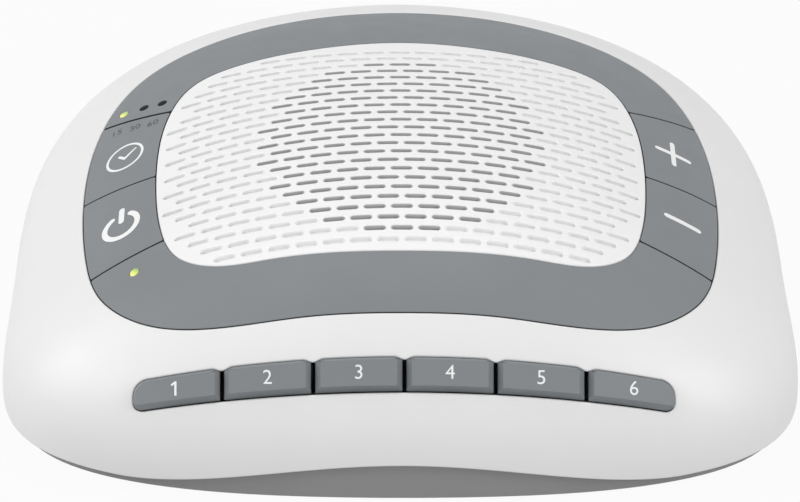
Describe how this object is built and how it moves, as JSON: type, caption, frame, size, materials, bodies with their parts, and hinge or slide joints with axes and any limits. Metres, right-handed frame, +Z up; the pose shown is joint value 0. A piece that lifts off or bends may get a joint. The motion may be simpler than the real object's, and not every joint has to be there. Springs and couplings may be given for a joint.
{
  "type": "white noise sound machine",
  "caption": "Low rounded table-top sound machine with a slotted speaker grille, a ring of wide touch keys and a row of small sound keys on the front slope.",
  "frame": {"origin": "centre of the housing's plan, on the surface it stands on", "axes": "+X listener's right, +Y rear, +Z up; the sound keys face -Y"},
  "size_m": [0.1634, 0.1469, 0.0514],
  "materials": {
    "cell_wrap": "plain wrap",
    "contact_steel": "plated spring steel",
    "grey_base": "fine texture",
    "grey_ring": "fine texture",
    "screw_steel": "zinc plated",
    "circuit_board": "solder mask",
    "silicone": "soft",
    "grey_keys": "fine texture",
    "inlet_black": "moulded",
    "lamp_lit": "lit lamp",
    "foot_rubber": "soft",
    "sound_caps": "satin",
    "speaker_cone": "paper",
    "speaker_steel": "pressed sheet",
    "white_grille": "satin",
    "magnet": "dark ferrite",
    "lamp_dark": "unlit lamp",
    "white_shell": "satin"
  },
  "bodies": {
    "machine": {"batteries": "cell_wrap", "battery_contacts": "contact_steel", "battery_cover": "grey_base", "control_ring": "grey_ring", "housing_screws": "screw_steel", "left_key_board": "circuit_board", "left_key_mat": "silicone", "lower_housing": "grey_base", "main_board": "circuit_board", "power_inlet": "inlet_black", "power_lens": "lamp_lit", "right_key_board": "circuit_board", "right_key_mat": "silicone", "rubber_feet": "foot_rubber", "sound_key_board": "circuit_board", "sound_key_mat": "silicone", "speaker_cone": "speaker_cone", "speaker_frame": "speaker_steel", "speaker_grille": "white_grille", "speaker_magnet": "magnet", "speaker_screws": "screw_steel", "timer_lens_15": "lamp_lit", "timer_lens_30": "lamp_dark", "timer_lens_60": "lamp_dark", "upper_housing": "white_shell"},
    "timer_button": {"timer_button": "grey_keys"},
    "power_button": {"power_button": "grey_keys"},
    "volume_up_button": {"volume_up_button": "grey_keys"},
    "volume_down_button": {"volume_down_button": "grey_keys"},
    "sound_button_1": {"sound_button_1": "sound_caps"},
    "sound_button_2": {"sound_button_2": "sound_caps"},
    "sound_button_3": {"sound_button_3": "sound_caps"},
    "sound_button_4": {"sound_button_4": "sound_caps"},
    "sound_button_5": {"sound_button_5": "sound_caps"},
    "sound_button_6": {"sound_button_6": "sound_caps"}
  },
  "joints": [
    {"name": "timer_press", "type": "slide", "parent": "machine", "child": "timer_button", "axis": [0, 0, -1], "range_m": [0, 0.0006], "stiffness_N_per_m": 800, "springref_m": -0.0003, "deforming": ["left_key_mat"]},
    {"name": "power_press", "type": "slide", "parent": "machine", "child": "power_button", "axis": [0, 0, -1], "range_m": [0, 0.0006], "stiffness_N_per_m": 800, "springref_m": -0.0003, "deforming": ["left_key_mat"]},
    {"name": "volume_up_press", "type": "slide", "parent": "machine", "child": "volume_up_button", "axis": [0, 0, -1], "range_m": [0, 0.0006], "stiffness_N_per_m": 800, "springref_m": -0.0003, "deforming": ["right_key_mat"]},
    {"name": "volume_down_press", "type": "slide", "parent": "machine", "child": "volume_down_button", "axis": [0, 0, -1], "range_m": [0, 0.0006], "stiffness_N_per_m": 800, "springref_m": -0.0003, "deforming": ["right_key_mat"]},
    {"name": "sound_press_1", "type": "slide", "parent": "machine", "child": "sound_button_1", "axis": [0, 0.848, -0.5299], "range_m": [0, 0.0008], "stiffness_N_per_m": 700, "springref_m": -0.0003, "deforming": ["sound_key_mat"]},
    {"name": "sound_press_2", "type": "slide", "parent": "machine", "child": "sound_button_2", "axis": [0, 0.848, -0.5299], "range_m": [0, 0.0008], "stiffness_N_per_m": 700, "springref_m": -0.0003, "deforming": ["sound_key_mat"]},
    {"name": "sound_press_3", "type": "slide", "parent": "machine", "child": "sound_button_3", "axis": [0, 0.848, -0.5299], "range_m": [0, 0.0008], "stiffness_N_per_m": 700, "springref_m": -0.0003, "deforming": ["sound_key_mat"]},
    {"name": "sound_press_4", "type": "slide", "parent": "machine", "child": "sound_button_4", "axis": [0, 0.848, -0.5299], "range_m": [0, 0.0008], "stiffness_N_per_m": 700, "springref_m": -0.0003, "deforming": ["sound_key_mat"]},
    {"name": "sound_press_5", "type": "slide", "parent": "machine", "child": "sound_button_5", "axis": [0, 0.848, -0.5299], "range_m": [0, 0.0008], "stiffness_N_per_m": 700, "springref_m": -0.0003, "deforming": ["sound_key_mat"]},
    {"name": "sound_press_6", "type": "slide", "parent": "machine", "child": "sound_button_6", "axis": [0, 0.848, -0.5299], "range_m": [0, 0.0008], "stiffness_N_per_m": 700, "springref_m": -0.0003, "deforming": ["sound_key_mat"]}
  ]
}
